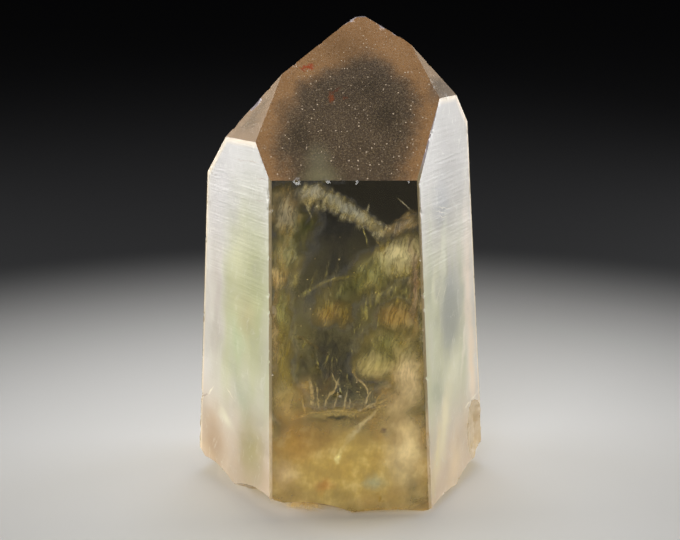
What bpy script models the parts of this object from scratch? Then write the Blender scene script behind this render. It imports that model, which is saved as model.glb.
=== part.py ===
"""A single citrine quartz crystal, broken off its rock and standing on the break.

The crystal is one solid: a tapering six-sided prism under a point of six
faces, three broad and three narrow. Its long axis is +Z, the broad front face
looks along -Y, and the origin is on the flat that the crystal stands on, in the
middle of its outline. A bearing is an angle round the crystal seen from above,
0 at the front face and growing towards +X. A rise is how far a face looks up.
Places and distances below are counted from the crystal's own axis at the foot.
"""

import math

import bmesh
import bpy
from mathutils import Matrix, Vector

MM = 0.001

# Driving dimensions, in millimetres and degrees

BLOCK_SIZE = 160.0
# The crystal's axis stands this far from the middle of its outline
AXIS_PLACE = (0.17, 0.32, 0.0)

# Each face of the crystal: its bearing, its rise and its distance
PRISM_FACES = {
    "front": (0.0, 3.7, 13.7),
    "left": (-60.0, 2.4, 14.95),
    "back left": (-120.0, 2.7, 16.65),
    "back": (180.0, 2.5, 13.1),
    "back right": (120.0, 2.4, 16.15),
    "right": (60.0, 4.0, 14.95),
}
POINT_FACES = {
    "broad front": (0.4, 37.4, 32.65),
    "broad back left": (-119.8, 39.5, 35.6),
    "broad back right": (120.0, 39.0, 38.5),
    "narrow left": (-61.4, 37.3, 36.5),
    "narrow right": (61.2, 38.8, 38.8),
    "narrow back": (180.0, 38.2, 38.6),
}
# Small planes worn or broken across the very tip
TIP_FACES = {
    "tip top": (0.0, 90.0, 56.15),
    "tip left": (-70.0, 64.0, 49.5),
    "tip right": (90.0, 60.0, 50.0),
}

PRISM_EDGE_WEAR = 0.29
POINT_EDGE_WEAR = 0.16
# The wear between the broad front face and the right face widens downwards
STRIP_WIDTH = 1.2
STRIP_SINK = 0.12

# Slopes broken off all round the foot: bearing, height up the side and reach in
FOOT_BREAKS = (
    (-92.0, 4.4, 2.9),
    (-62.0, 1.5, 3.2),
    (-34.0, 4.3, 4.2),
    (-9.0, 0.9, 3.0),
    (12.0, 0.3, 1.6),
    (34.0, 1.5, 2.4),
    (63.0, 0.5, 2.0),
    (90.0, 4.8, 2.9),
    (118.0, 1.7, 4.4),
    (147.0, 5.4, 4.2),
    (178.0, 1.2, 3.6),
    (-146.0, 4.4, 4.6),
    (-121.0, 2.8, 4.8),
)
# Shallow shells broken out of those slopes: bearing, height up the side, reach
# in along the foot, width along the rim, roundness and the lean of the shell
RIM_FLAKES = (
    (-80.0, 2.3, 3.6, 15.0, 3.0, 9),
    (-47.0, 2.6, 4.8, 17.0, 3.4, -7),
    (-20.0, 1.9, 3.8, 15.0, 3.2, 8),
    (17.0, 0.7, 3.6, 15.0, 4.0, -2),
    (47.0, 1.0, 4.0, 13.0, 3.0, 4),
    (79.0, 1.9, 3.2, 13.0, 2.8, -9),
    (105.0, 3.1, 5.2, 18.0, 3.2, 8),
    (133.0, 4.2, 6.2, 18.0, 3.0, -6),
    (164.0, 2.6, 4.6, 16.0, 3.2, 9),
    (-164.0, 2.1, 4.6, 16.0, 3.4, -8),
    (-135.0, 4.0, 6.0, 18.0, 3.0, 7),
    (-107.0, 3.2, 5.4, 16.0, 3.0, -8),
)

# Chips on edges and faces: place, the way they look (bearing, rise), the way
# they run (bearing, rise), and their length, width and depth
CHIPS = {
    "long flake at the lower right edge": ((15.9, -1.6, 5.8), (70, 2), (90, -84), 7.6, 5.0, 0.42),
    "notch in the left edge": ((-17.7, 1.5, 10.0), (-90, 0), (-90, 80), 1.3, 1.1, 0.28),
    "nick in the left edge": ((-17.1, 1.4, 24.6), (-90, 0), (-90, 80), 1.6, 0.9, 0.18),
    "chip in the right edge": ((16.1, 2.2, 33.5), (90, 0), (90, 80), 1.8, 1.1, 0.22),
    "pit in the narrow left face": ((-10.3, -2.85, 46.6), (-61, 37), (90, 38), 2.0, 0.9, 0.3),
    "first nick under the tip": ((-3.0, 0.2, 53.2), (-60, 50), (-90, -35), 1.6, 0.8, 0.22),
    "second nick under the tip": ((-5.0, -0.9, 51.5), (-60, 50), (-90, -35), 1.2, 0.7, 0.18),
    "nick in the right ridge": ((6.2, 0.6, 54.2), (70, 55), (90, -35), 1.5, 0.8, 0.18),
    "chip on the front left edge": ((-8.55, -12.0, 24.5), (-30, 0), (0, 86), 0.9, 0.5, 0.08),
    "chip on the front right edge": ((8.25, -11.55, 33.8), (30, 0), (0, 86), 1.4, 0.8, 0.16),
    "chip at the back ridge": ((2.4, 5.2, 55.2), (180, 55), (90, 0), 1.8, 1.4, 0.25),
    "chip on the back right edge": ((9.6, 11.0, 42.0), (150, 10), (0, 86), 2.6, 1.2, 0.3),
    "chip on the back left edge": ((-10.6, 11.4, 34.5), (-150, 5), (0, 86), 3.4, 1.4, 0.32),
}

BALL_SEGMENTS = 40
BALL_RINGS = 24
CHIP_SEGMENTS = 20
CHIP_RINGS = 12

COLOUR = (0.62, 0.52, 0.27, 1.0)
ROUGHNESS = 0.12
REFRACTION = 1.544


def facing(bearing, rise):
    """The unit vector that looks out at this bearing and rise."""
    turn, lift = math.radians(bearing), math.radians(rise)
    return Vector(
        (math.sin(turn) * math.cos(lift), -math.cos(turn) * math.cos(lift), math.sin(lift))
    )


def plane_of(face):
    """The outward normal and the distance of a named face."""
    bearing, rise, distance = (PRISM_FACES | POINT_FACES)[face]
    return facing(bearing, rise), distance


def corner(*faces):
    """The point where three named faces meet."""
    planes = [plane_of(face) for face in faces]
    rows = Matrix([normal for normal, _ in planes])
    return rows.inverted() @ Vector([distance for _, distance in planes])


def clear_scene():
    for thing in list(bpy.data.objects):
        bpy.data.objects.remove(thing, do_unlink=True)


def slice_off(shape, normal, distance):
    """Cuts away what lies beyond a plane and closes the cut."""
    geometry = shape.verts[:] + shape.edges[:] + shape.faces[:]
    cut = bmesh.ops.bisect_plane(
        shape,
        geom=geometry,
        plane_co=normal * distance,
        plane_no=normal,
        clear_outer=True,
    )
    rim = [item for item in cut["geom_cut"] if isinstance(item, bmesh.types.BMEdge)]
    if rim:
        bmesh.ops.edgeloop_fill(shape, edges=rim)


def wear_strip():
    """The plane worn along the edge between the broad front and right faces.

    It starts at nothing where the narrow right face begins and is widest where
    the front face begins.
    """
    top = corner("broad front", "right", "narrow right")
    bottom = corner("broad front", "right", "front")
    edge = (bottom - top).normalized()
    outward = (plane_of("broad front")[0] + plane_of("right")[0]).normalized()
    across = edge.cross(outward).normalized()
    low = bottom - outward * STRIP_SINK - across * STRIP_WIDTH / 2
    high = bottom - outward * STRIP_SINK + across * STRIP_WIDTH / 2
    normal = (low - top).cross(high - top).normalized()
    if normal.dot(outward) < 0:
        normal.negate()
    return normal, normal.dot(top)


def wear_edges(shape, width, wanted):
    edges = [edge for edge in shape.edges if wanted(edge)]
    bmesh.ops.bevel(
        shape,
        geom=edges,
        affect="EDGES",
        offset=width,
        offset_type="OFFSET",
        segments=2,
        profile=0.5,
        material=-1,
        clamp_overlap=True,
    )


def is_prism_edge(edge):
    """True of the six long edges that run up the prism."""
    run = edge.verts[1].co - edge.verts[0].co
    steep = abs(run.z) > 0.9 * run.length
    return steep and run.length > 10


def is_point_edge(edge):
    """True of the sharp edges above the foot that aren't the prism's own."""
    above_foot = min(vert.co.z for vert in edge.verts) > 1.0
    sharp = len(edge.link_faces) == 2 and edge.calc_face_angle() > math.radians(20)
    return above_foot and sharp and edge.calc_length() > 1.0


def crystal_form():
    """The whole crystal with flat faces, flat foot and worn edges."""
    shape = bmesh.new()
    bmesh.ops.create_cube(shape, size=BLOCK_SIZE)
    bmesh.ops.translate(shape, verts=shape.verts, vec=(0, 0, BLOCK_SIZE / 2))
    for bearing, rise, distance in (PRISM_FACES | POINT_FACES).values():
        slice_off(shape, facing(bearing, rise), distance)
    slice_off(shape, *wear_strip())
    for dimensions in FOOT_BREAKS:
        slice_off(shape, *foot_break(*dimensions))
    for bearing, rise, distance in TIP_FACES.values():
        slice_off(shape, facing(bearing, rise), distance)
    wear_edges(shape, PRISM_EDGE_WEAR, is_prism_edge)
    wear_edges(shape, POINT_EDGE_WEAR, is_point_edge)
    return shape


def as_object(name, shape):
    """Turns a shape in millimetres, round the crystal's axis, into an object in metres."""
    bmesh.ops.translate(shape, verts=shape.verts, vec=AXIS_PLACE)
    bmesh.ops.scale(shape, verts=shape.verts, vec=(MM, MM, MM))
    bmesh.ops.recalc_face_normals(shape, faces=shape.faces)
    mesh = bpy.data.meshes.new(name)
    shape.to_mesh(mesh)
    shape.free()
    thing = bpy.data.objects.new(name, mesh)
    bpy.context.scene.collection.objects.link(thing)
    return thing


def carve(body, cutter):
    """Takes a hidden cutter out of the crystal with a Boolean."""
    cutter.hide_render = True
    cutter.display_type = "WIRE"
    cutter.parent = body
    cutting = body.modifiers.new(cutter.name, "BOOLEAN")
    cutting.operation = "DIFFERENCE"
    cutting.solver = "EXACT"
    cutting.object = cutter


def scoop(name, centre, axes, radii, segments, rings):
    """A ball with a radius of its own along each of three axes, as a cutter."""
    shape = bmesh.new()
    bmesh.ops.create_uvsphere(shape, u_segments=segments, v_segments=rings, radius=1.0)
    stretch = Matrix.Diagonal((*radii, 1.0))
    turn = Matrix(axes).transposed().to_4x4()
    place = Matrix.Translation(centre) @ turn @ stretch
    bmesh.ops.transform(shape, verts=shape.verts, matrix=place)
    return as_object(name, shape)


def rim_distance(bearing):
    """How far the foot's rim is from the axis at a bearing."""
    ray = facing(bearing, 0)
    reaches = []
    for face_bearing, rise, distance in PRISM_FACES.values():
        slope = facing(face_bearing, rise).dot(ray)
        if slope > 0:
            reaches.append(distance / slope)
    return min(reaches)


def foot_break(bearing, height, reach):
    """The plane that slopes from the side down to the foot at a bearing."""
    radial = facing(bearing, 0)
    normal = Vector((radial.x * height, radial.y * height, -reach)).normalized()
    return normal, normal.dot(radial * rim_distance(bearing))


def rim_flake(bearing, height, reach, width, roundness, lean):
    """A shell-shaped scoop from the side down to the foot."""
    chord = math.hypot(height, reach)
    radius = roundness * chord
    stand_off = math.sqrt(radius**2 - chord**2 / 4)
    out = -reach / 2 + stand_off * height / chord
    up = height / 2 - stand_off * reach / chord
    stretch = width / 2 * radius / math.sqrt(radius**2 - out**2 - up**2)
    radial = facing(bearing, 0)
    centre = radial * (rim_distance(bearing) + out) + Vector((0, 0, up))
    along_rim = facing(bearing + 90, lean)
    axes = (along_rim, radial, along_rim.cross(radial))
    name = f"rim_flake_{bearing:.0f}"
    return scoop(name, centre, axes, (stretch, radius, radius), BALL_SEGMENTS, BALL_RINGS)


def chip(name, place, looks, runs, length, width, depth):
    """A shallow scoop sunk to its depth at one place on the surface."""
    outward = facing(*looks)
    along = facing(*runs)
    along = (along - outward * along.dot(outward)).normalized()
    radius = (width**2 / 4 + depth**2) / (2 * depth)
    centre = Vector(place) + outward * (radius - depth)
    axes = (along, outward.cross(along), outward)
    radii = (radius * length / width, radius, radius)
    return scoop(name.replace(" ", "_"), centre, axes, radii, CHIP_SEGMENTS, CHIP_RINGS)


def citrine():
    """The stone's own colour, clear and glossy."""
    material = bpy.data.materials.new("citrine")
    material.use_nodes = True
    surface = material.node_tree.nodes["Principled BSDF"]
    surface.inputs["Base Color"].default_value = COLOUR
    surface.inputs["Roughness"].default_value = ROUGHNESS
    surface.inputs["Metallic"].default_value = 0.0
    surface.inputs["IOR"].default_value = REFRACTION
    surface.inputs["Transmission Weight"].default_value = 1.0
    return material


def main():
    clear_scene()
    crystal = as_object("crystal", crystal_form())
    for flake in RIM_FLAKES:
        carve(crystal, rim_flake(*flake))
    for name, dimensions in CHIPS.items():
        carve(crystal, chip(name, *dimensions))
    crystal.data.materials.append(citrine())


main()
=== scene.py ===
"""The citrine quartz crystal's looks: a smoky golden point with satin sides and a milky inside.

Lengths are in millimetres, counted from the crystal's own axis at its foot, and
become metres as each piece is finished. A bearing is an angle round the crystal
seen from above, 0 at the front face and growing towards +X. A rise is how far a
face looks up. A spot under a face is so far to the right of the face's middle
line, so high and so deep. Colours are linear.
"""

import math
import random

import bmesh
import bpy
from mathutils import Matrix, Vector, noise


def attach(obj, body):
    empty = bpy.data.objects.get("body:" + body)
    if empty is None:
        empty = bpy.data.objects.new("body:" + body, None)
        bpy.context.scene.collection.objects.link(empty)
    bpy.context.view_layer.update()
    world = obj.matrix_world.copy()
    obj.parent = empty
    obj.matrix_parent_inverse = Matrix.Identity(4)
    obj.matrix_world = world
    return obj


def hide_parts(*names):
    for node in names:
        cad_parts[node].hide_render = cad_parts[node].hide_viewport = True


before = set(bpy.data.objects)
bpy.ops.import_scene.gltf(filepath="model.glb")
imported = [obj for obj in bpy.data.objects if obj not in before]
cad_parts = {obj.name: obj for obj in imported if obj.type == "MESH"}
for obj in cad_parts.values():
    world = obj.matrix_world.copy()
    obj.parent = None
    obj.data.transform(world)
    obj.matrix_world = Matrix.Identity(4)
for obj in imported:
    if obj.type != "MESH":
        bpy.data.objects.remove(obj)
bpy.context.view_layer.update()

MM = 0.001
# The crystal's axis stands this far from the middle of its outline
AXIS_PLACE = Vector((0.17, 0.32, 0.0))

PRISM_FACES = {
    "front": (0.0, 3.7, 13.7),
    "left": (-60.0, 2.4, 14.95),
    "back left": (-120.0, 2.7, 16.65),
    "back": (180.0, 2.5, 13.1),
    "back right": (120.0, 2.4, 16.15),
    "right": (60.0, 4.0, 14.95),
}
POINT_FACES = {
    "broad front": (0.4, 37.4, 32.65),
    "broad back left": (-119.8, 39.5, 35.6),
    "broad back right": (120.0, 39.0, 38.5),
    "narrow left": (-61.4, 37.3, 36.5),
    "narrow right": (61.2, 38.8, 38.8),
    "narrow back": (180.0, 38.2, 38.6),
}
# How satin each prism face is, from 0 where it is clear
SATIN = {"left": 1.0, "right": 1.0, "back left": 0.9, "back right": 0.9, "back": 0.08}

GRID_STEP = 0.5


def facing(bearing, rise):
    """The unit vector that looks out at this bearing and rise."""
    turn, lift = math.radians(bearing), math.radians(rise)
    return Vector(
        (math.sin(turn) * math.cos(lift), -math.cos(turn) * math.cos(lift), math.sin(lift))
    )


FACES = {name: (facing(b, r), d) for name, (b, r, d) in (PRISM_FACES | POINT_FACES).items()}


def finished(name, shape, material):
    """Turns a shape in millimetres into a piece in metres that rides on the crystal."""
    bmesh.ops.translate(shape, verts=shape.verts, vec=AXIS_PLACE)
    bmesh.ops.scale(shape, verts=shape.verts, vec=(MM, MM, MM))
    mesh = bpy.data.meshes.new(name)
    shape.to_mesh(mesh)
    shape.free()
    piece = bpy.data.objects.new(name, mesh)
    bpy.context.scene.collection.objects.link(piece)
    mesh.materials.append(material)
    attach(piece, "root")
    return piece


# The stone's body

MERGE_GAP = 0.002
FLAT_ANGLE = math.radians(0.4)
SHARP_ANGLE = math.radians(11.0)
# How nearly a small face has to look and lie as a named face does to be part of it
SAME_LOOK = 0.9995
SAME_PLANE = 0.5
# Where the foot's broken surfaces end, and the height under which it stands flat
BREAK_TOP = 7.5
STANDING_HEIGHT = 0.05
# How far the surfaces stray from the flat ones
UNDULATION = 0.012
STRIATION = 0.010
PITTING = 0.014
BREAK_RIPPLE = 0.16
# How deep the nicks on the edges are at most, and the noise that it takes to cut one
NICK_DEPTH = 0.26
NICK_LEVEL = 0.42


def solid_copy():
    """The crystal's solid with its points merged and its flat faces whole, in millimetres."""
    shape = bmesh.new()
    shape.from_mesh(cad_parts["crystal"].data)
    bmesh.ops.scale(shape, verts=shape.verts, vec=(1 / MM, 1 / MM, 1 / MM))
    bmesh.ops.translate(shape, verts=shape.verts, vec=-AXIS_PLACE)
    bmesh.ops.remove_doubles(shape, verts=shape.verts, dist=MERGE_GAP)
    bmesh.ops.dissolve_limit(
        shape, angle_limit=FLAT_ANGLE, verts=shape.verts, edges=shape.edges
    )
    return shape


def divide(shape, step):
    """Cuts every face into a grid by planes across all three axes, finer along sharp edges."""
    lows = [min(vert.co[axis] for vert in shape.verts) for axis in range(3)]
    highs = [max(vert.co[axis] for vert in shape.verts) for axis in range(3)]
    for axis in range(3):
        normal = Vector((axis == 0, axis == 1, axis == 2))
        count = int((highs[axis] - lows[axis]) / step)
        for index in range(1, count):
            place = lows[axis] + (highs[axis] - lows[axis]) * index / count
            bmesh.ops.bisect_plane(
                shape,
                geom=shape.verts[:] + shape.edges[:] + shape.faces[:],
                plane_co=normal * place,
                plane_no=normal,
            )
    sharp = [edge for edge in shape.edges if edge.calc_face_angle(0.0) > SHARP_ANGLE]
    bmesh.ops.subdivide_edges(shape, edges=sharp, cuts=1)
    bmesh.ops.triangulate(shape, faces=shape.faces)


def face_kind(face):
    """The named crystal face that a small face lies in, or None on a break or a worn edge."""
    middle = face.calc_center_median()
    for name, (normal, distance) in FACES.items():
        off_plane = abs(middle.dot(normal) - distance)
        if face.normal.dot(normal) > SAME_LOOK and off_plane < SAME_PLANE:
            return name
    return None


def distance_on_face(place, name, ignored=()):
    """How far a point is from the nearest edge of the crystal face that it lies in."""
    normal = FACES[name][0]
    reaches = []
    for other, (facing_out, distance) in FACES.items():
        slope = facing_out.dot(normal)
        if other != name and other not in ignored and slope > -0.5:
            reaches.append((distance - facing_out.dot(place)) / math.sqrt(1 - slope**2))
    return max(0.0, min(reaches))


def surface_stray(place, kinds):
    """How far the real surface stands out from the flat one, at a point of these kinds."""
    if None not in kinds and len(kinds) == 1:
        kind = next(iter(kinds))
        stray = UNDULATION * noise.noise(place * 0.24)
        if kind in SATIN:
            level = Vector((place.x * 0.07, place.y * 0.07, place.z * 2.1))
            stray += STRIATION * (0.3 + SATIN[kind]) * noise.noise(level)
        if kind in POINT_FACES:
            stray -= PITTING * max(0.0, noise.noise(place * 2.3))
        return stray
    if kinds == {None} and place.z < BREAK_TOP:
        coarse = noise.fractal(place * 0.55, 0.9, 2.1, 4)
        shell = math.sin((place - Vector((3, -4, 9))).length * 2.6 + 2.5 * coarse)
        return BREAK_RIPPLE * (coarse + 0.22 * shell)
    fine, finer, coarse = (noise.noise(place * scale) for scale in (1.7, 4.1, 0.5))
    nick = fine + 0.5 * finer + 0.3 * coarse
    return -min(NICK_DEPTH, 0.6 * max(0.0, nick - NICK_LEVEL))


def weather(shape, kinds):
    """Gives flat faces a natural waviness, edges small nicks and breaks a rippled surface."""
    for edge in shape.edges:
        edge.smooth = edge.calc_face_angle(0.0) < SHARP_ANGLE
    moves = []
    for vert in shape.verts:
        near = {kinds[face.index] for face in vert.link_faces}
        free = vert.co.z > STANDING_HEIGHT
        moves.append(vert.normal * surface_stray(vert.co, near) if free else Vector())
    lows = [min(vert.co[axis] for vert in shape.verts) for axis in range(3)]
    highs = [max(vert.co[axis] for vert in shape.verts) for axis in range(3)]
    for vert, move in zip(shape.verts, moves):
        for axis in range(3):
            vert.co[axis] = min(highs[axis], max(lows[axis], vert.co[axis] + move[axis]))
    for face in shape.faces:
        face.smooth = True


def mark_faces(body, kinds, rims, borders):
    """Stores which faces the body's surface belongs to and how far in from an edge it is."""
    shares = {
        "is_side": [SATIN.get(kind, 0.0) for kind in kinds],
        "is_front": [float(kind == "front") for kind in kinds],
        "is_point": [float(kind in POINT_FACES) for kind in kinds],
        "is_worn": [float(kind is None) for kind in kinds],
        "is_narrow": [float(kind is not None and kind.startswith("narrow")) for kind in kinds],
    }
    for name, values in shares.items():
        layer = body.data.attributes.new(name, "FLOAT", "FACE")
        layer.data.foreach_set("value", values)
    for name, values in (("rim", rims), ("border", borders)):
        layer = body.data.attributes.new(name, "FLOAT", "CORNER")
        layer.data.foreach_set("value", values)


def crystal_body(material):
    """The crystal's own surface, redrawn finely from its solid."""
    shape = solid_copy()
    divide(shape, GRID_STEP)
    shape.faces.index_update()
    shape.normal_update()
    kinds = [face_kind(face) for face in shape.faces]
    rims, borders = [], []
    for face, kind in zip(shape.faces, kinds):
        for loop in face.loops:
            place = loop.vert.co
            rims.append(distance_on_face(place, kind, ("front", "broad front")) if kind else 0.0)
            borders.append(distance_on_face(place, kind, ("front", "back")) if kind else 0.0)
    weather(shape, kinds)
    body = finished("crystal_body", shape, material)
    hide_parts("crystal")
    mark_faces(body, kinds, rims, borders)


# Pattern steps for the finishes

def feed(tree, socket, value):
    """Gives a socket a number, a colour or another node's output."""
    if isinstance(value, bpy.types.NodeSocket):
        tree.links.new(value, socket)
    elif isinstance(value, tuple) and len(value) == 3 and socket.type == "RGBA":
        socket.default_value = (*value, 1.0)
    else:
        socket.default_value = value


def made_node(tree, kind, fed=(), **settings):
    """A node with its settings, and with what its sockets are fed."""
    made = tree.nodes.new(kind)
    for name, value in settings.items():
        setattr(made, name, value)
    for socket, value in dict(fed).items():
        feed(tree, made.inputs[socket], value)
    return made


def new_finish(name):
    """A new material with nothing in its tree but the output."""
    material = bpy.data.materials.new(name)
    material.use_nodes = True
    tree = material.node_tree
    tree.nodes.clear()
    return material, tree, made_node(tree, "ShaderNodeOutputMaterial")


def maths(tree, operation, first, second=0.0, clamp=False):
    fed = {0: first, 1: second}
    step = made_node(tree, "ShaderNodeMath", fed, operation=operation, use_clamp=clamp)
    return step.outputs[0]


def both(tree, *factors):
    """The product of several factors."""
    result = factors[0]
    for factor in factors[1:]:
        result = maths(tree, "MULTIPLY", result, factor)
    return result


def total(tree, *parts):
    """The sum of several parts."""
    result = parts[0]
    for part in parts[1:]:
        result = maths(tree, "ADD", result, part)
    return result


def smooth(tree, value, low, high, start=0.0, end=1.0):
    """Goes smoothly from start to end as the value goes from low to high."""
    fed = {"Value": value, "From Min": low, "From Max": high, "To Min": start, "To Max": end}
    step = made_node(tree, "ShaderNodeMapRange", fed, interpolation_type="SMOOTHSTEP")
    return step.outputs["Result"]


def falling(tree, value, low, high):
    return smooth(tree, value, low, high, 1.0, 0.0)


def blend(tree, factor, first, second):
    fed = {0: factor, 6: first, 7: second}
    return made_node(tree, "ShaderNodeMix", fed, data_type="RGBA").outputs[2]


def place_in_mm(tree):
    """Object coordinates in millimetres, from the crystal's own axis."""
    place = made_node(tree, "ShaderNodeTexCoord").outputs["Object"]
    fed = {0: place, 1: (1 / MM, 1 / MM, 1 / MM), 2: -AXIS_PLACE}
    return made_node(tree, "ShaderNodeVectorMath", fed, operation="MULTIPLY_ADD").outputs[0]


def height_of(tree, place):
    return made_node(tree, "ShaderNodeSeparateXYZ", {0: place}).outputs["Z"]


def stretched(tree, place, lengths, lean=0.0, bearing=0.0, centre=(0, 0, 0)):
    """Coordinates that count in these lengths along axes leaned sideways and turned."""
    turned = (0, math.radians(lean), math.radians(bearing))
    fed = {"Vector": place, "Scale": lengths, "Rotation": turned, "Location": centre}
    return made_node(tree, "ShaderNodeMapping", fed, vector_type="TEXTURE").outputs[0]


def cloudy(tree, place, scale=1.0, detail=4.0, roughness=0.55):
    fed = {"Vector": place, "Scale": scale, "Detail": detail, "Roughness": roughness}
    return made_node(tree, "ShaderNodeTexNoise", fed).outputs[0]


def stirred(tree, place, scale, amount):
    """The same coordinates pushed about, so that what follows them gets an uneven border."""
    fed = {"Vector": place, "Scale": scale, "Detail": 3.0}
    swirl = made_node(tree, "ShaderNodeTexNoise", fed).outputs["Color"]
    fed = {0: swirl, 1: (amount,) * 3, 2: (-amount / 2,) * 3}
    push = made_node(tree, "ShaderNodeVectorMath", fed, operation="MULTIPLY_ADD").outputs[0]
    fed = {0: place, 1: push}
    return made_node(tree, "ShaderNodeVectorMath", fed, operation="ADD").outputs[0]


def patch(tree, place, centre, radii, lean=0.0, bearing=0.0, softness=0.7):
    """1 inside an oval patch and 0 outside it."""
    local = stretched(tree, place, radii, lean, bearing, centre)
    reach = made_node(tree, "ShaderNodeVectorMath", {0: local}, operation="LENGTH")
    return falling(tree, reach.outputs["Value"], 1.0 - softness, 1.0 + softness * 0.4)


def attribute(tree, name):
    return made_node(tree, "ShaderNodeAttribute", attribute_name=name).outputs["Fac"]


def speckles(tree, place, cells, share, size):
    """Small points: a share of the cells has one, of a size within its cell."""
    grain = made_node(tree, "ShaderNodeTexVoronoi", {"Vector": place, "Scale": cells})
    split = made_node(tree, "ShaderNodeSeparateColor", {0: grain.outputs["Color"]})
    chosen = maths(tree, "GREATER_THAN", split.outputs[0], 1.0 - share)
    small = maths(tree, "MULTIPLY", split.outputs[1], size)
    near = maths(tree, "LESS_THAN", grain.outputs["Distance"], small)
    return both(tree, chosen, near)


# The stone's finish

CITRINE_IOR = 1.544
CLEAREST = 0.98
SMOKE_COLOUR = (0.64, 0.59, 0.20, 1.0)
SMOKE_DENSITY = 150.0
# What the stone lets through to what it shades and to what lies inside it
SHADE_TINT = (0.78, 0.72, 0.58, 1.0)

CLEAR_STONE = (0.97, 0.95, 0.90)
# The sides' upper colour is darker: painted shade that evens out the lamps' stronger light up
# there.
SATIN_LOW, SATIN_SHADED_TOP = (0.74, 0.69, 0.61), (0.55, 0.52, 0.475)
SATIN_GREEN, SATIN_FOOT = (0.60, 0.61, 0.32), (0.64, 0.46, 0.27)
# The rim colour is a cream painted highlight along the side faces' edges.
SATIN_FIBRE, SATIN_DUSK, RIM_HIGHLIGHT = (0.92, 0.90, 0.78), (0.40, 0.38, 0.30), (0.98, 0.80, 0.55)
# The point's darker smoky middle is painted shade for the dark seen through the clear stone, and
# its warm brown border is painted light coming in through the neighbouring faces.
SHADED_MIDDLE_DARK, SHADED_MIDDLE_PALE = (0.115, 0.078, 0.056), (0.21, 0.145, 0.105)
LIT_BORDER_DARK, LIT_BORDER_PALE = (0.36, 0.185, 0.072), (0.50, 0.27, 0.115)
GRAIN_PALE, GRAIN_DARK, NARROW_FAWN = (0.56, 0.41, 0.28), (0.03, 0.022, 0.018), (0.46, 0.37, 0.28)
# Painted glints: pale specks where the point's tiny pits catch the light.
PIT_GLINT, SPARK = (0.55, 0.42, 0.30), (0.66, 0.52, 0.37)
CLOUD_OLIVE, CLOUD_GOLD = (0.50, 0.40, 0.18), (0.90, 0.70, 0.30)
BREAK_DARK, BREAK_PALE = (0.55, 0.38, 0.18), (0.84, 0.69, 0.45)
EDGE_TAN, EDGE_LAVENDER = (0.42, 0.33, 0.18), (0.56, 0.49, 0.52)

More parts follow.
